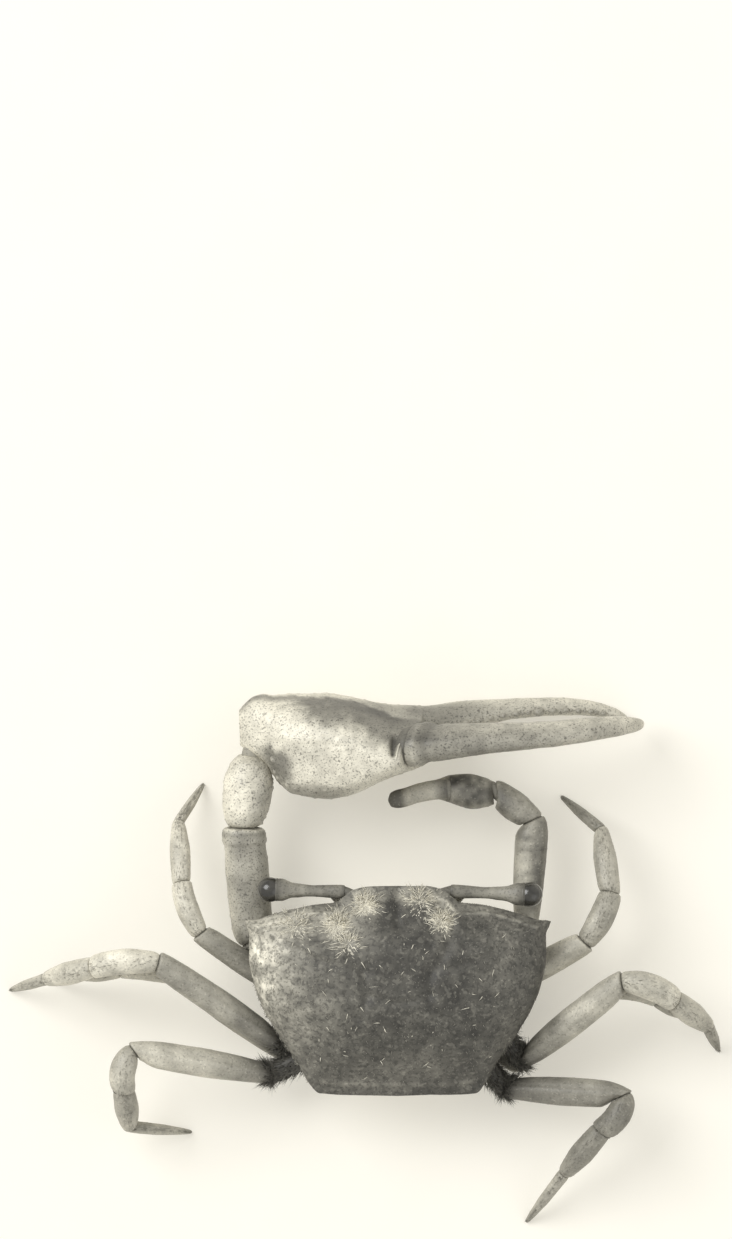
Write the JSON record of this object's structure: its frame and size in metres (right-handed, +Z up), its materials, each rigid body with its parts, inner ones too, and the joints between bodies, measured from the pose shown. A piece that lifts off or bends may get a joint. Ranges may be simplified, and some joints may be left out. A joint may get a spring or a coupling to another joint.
{
  "type": "fiddler crab",
  "caption": "Life-size male fiddler crab standing with its great claw folded in front of its face, a still museum-style model.",
  "frame": {"origin": "centre of the whole crab's box, at floor level", "axes": "crab faces -Y, its left side (the great claw) is +X, +Z up"},
  "size_m": [0.0606, 0.0452, 0.0129],
  "materials": {
    "abdomen": "pale underside",
    "antenna_l": "dull horny skin",
    "antenna_r": "dull horny skin",
    "carapace": "dark mottled shell",
    "claw_l_base": "pale speckled shell",
    "claw_l_carpus": "pale speckled shell",
    "claw_l_finger": "pale speckled shell",
    "claw_l_hand": "pale speckled shell",
    "claw_l_merus": "pale speckled shell",
    "claw_r_base": "pale speckled shell",
    "claw_r_carpus": "pale speckled shell",
    "claw_r_finger": "pale speckled shell",
    "claw_r_hand": "pale speckled shell",
    "claw_r_merus": "pale speckled shell",
    "eye_l": "dark glossy cornea",
    "eye_r": "dark glossy cornea",
    "eyestalk_l": "dull horny skin",
    "eyestalk_r": "dull horny skin",
    "leg_2_l_base": "grey-brown shell",
    "leg_2_l_carpus": "grey-brown shell",
    "leg_2_l_dactyl": "grey-brown shell",
    "leg_2_l_merus": "grey-brown shell",
    "leg_2_l_propodus": "grey-brown shell",
    "leg_2_r_base": "grey-brown shell",
    "leg_2_r_carpus": "grey-brown shell",
    "leg_2_r_dactyl": "grey-brown shell",
    "leg_2_r_merus": "grey-brown shell",
    "leg_2_r_propodus": "grey-brown shell",
    "leg_3_l_base": "grey-brown shell",
    "leg_3_l_carpus": "grey-brown shell",
    "leg_3_l_dactyl": "grey-brown shell",
    "leg_3_l_merus": "grey-brown shell",
    "leg_3_l_propodus": "grey-brown shell",
    "leg_3_r_base": "grey-brown shell",
    "leg_3_r_carpus": "grey-brown shell",
    "leg_3_r_dactyl": "grey-brown shell",
    "leg_3_r_merus": "grey-brown shell",
    "leg_3_r_propodus": "grey-brown shell",
    "leg_4_l_carpus": "grey-brown shell",
    "leg_4_l_dactyl": "grey-brown shell",
    "leg_4_l_merus": "grey-brown shell",
    "leg_4_l_propodus": "grey-brown shell",
    "leg_4_r_carpus": "grey-brown shell",
    "leg_4_r_dactyl": "grey-brown shell",
    "leg_4_r_merus": "grey-brown shell",
    "leg_4_r_propodus": "grey-brown shell",
    "leg_5_l_base": "grey-brown shell",
    "leg_5_l_carpus": "grey-brown shell",
    "leg_5_l_dactyl": "grey-brown shell",
    "leg_5_l_merus": "grey-brown shell",
    "leg_5_l_propodus": "grey-brown shell",
    "leg_5_r_base": "grey-brown shell",
    "leg_5_r_carpus": "grey-brown shell",
    "leg_5_r_dactyl": "grey-brown shell",
    "leg_5_r_merus": "grey-brown shell",
    "leg_5_r_propodus": "grey-brown shell",
    "maxilliped_l": "pale underside",
    "maxilliped_r": "pale underside",
    "thorax": "pale underside"
  },
  "bodies": {
    "root": {"abdomen": "abdomen", "antenna_l": "antenna_l", "antenna_r": "antenna_r", "carapace": "carapace", "claw_l_base": "claw_l_base", "claw_l_carpus": "claw_l_carpus", "claw_l_finger": "claw_l_finger", "claw_l_hand": "claw_l_hand", "claw_l_merus": "claw_l_merus", "claw_r_base": "claw_r_base", "claw_r_carpus": "claw_r_carpus", "claw_r_finger": "claw_r_finger", "claw_r_hand": "claw_r_hand", "claw_r_merus": "claw_r_merus", "eye_l": "eye_l", "eye_r": "eye_r", "eyestalk_l": "eyestalk_l", "eyestalk_r": "eyestalk_r", "leg_2_l_base": "leg_2_l_base", "leg_2_l_carpus": "leg_2_l_carpus", "leg_2_l_dactyl": "leg_2_l_dactyl", "leg_2_l_merus": "leg_2_l_merus", "leg_2_l_propodus": "leg_2_l_propodus", "leg_2_r_base": "leg_2_r_base", "leg_2_r_carpus": "leg_2_r_carpus", "leg_2_r_dactyl": "leg_2_r_dactyl", "leg_2_r_merus": "leg_2_r_merus", "leg_2_r_propodus": "leg_2_r_propodus", "leg_3_l_base": "leg_3_l_base", "leg_3_l_carpus": "leg_3_l_carpus", "leg_3_l_dactyl": "leg_3_l_dactyl", "leg_3_l_merus": "leg_3_l_merus", "leg_3_l_propodus": "leg_3_l_propodus", "leg_3_r_base": "leg_3_r_base", "leg_3_r_carpus": "leg_3_r_carpus", "leg_3_r_dactyl": "leg_3_r_dactyl", "leg_3_r_merus": "leg_3_r_merus", "leg_3_r_propodus": "leg_3_r_propodus", "leg_4_l_carpus": "leg_4_l_carpus", "leg_4_l_dactyl": "leg_4_l_dactyl", "leg_4_l_merus": "leg_4_l_merus", "leg_4_l_propodus": "leg_4_l_propodus", "leg_4_r_carpus": "leg_4_r_carpus", "leg_4_r_dactyl": "leg_4_r_dactyl", "leg_4_r_merus": "leg_4_r_merus", "leg_4_r_propodus": "leg_4_r_propodus", "leg_5_l_base": "leg_5_l_base", "leg_5_l_carpus": "leg_5_l_carpus", "leg_5_l_dactyl": "leg_5_l_dactyl", "leg_5_l_merus": "leg_5_l_merus", "leg_5_l_propodus": "leg_5_l_propodus", "leg_5_r_base": "leg_5_r_base", "leg_5_r_carpus": "leg_5_r_carpus", "leg_5_r_dactyl": "leg_5_r_dactyl", "leg_5_r_merus": "leg_5_r_merus", "leg_5_r_propodus": "leg_5_r_propodus", "maxilliped_l": "maxilliped_l", "maxilliped_r": "maxilliped_r", "thorax": "thorax"}
  },
  "joints": []
}
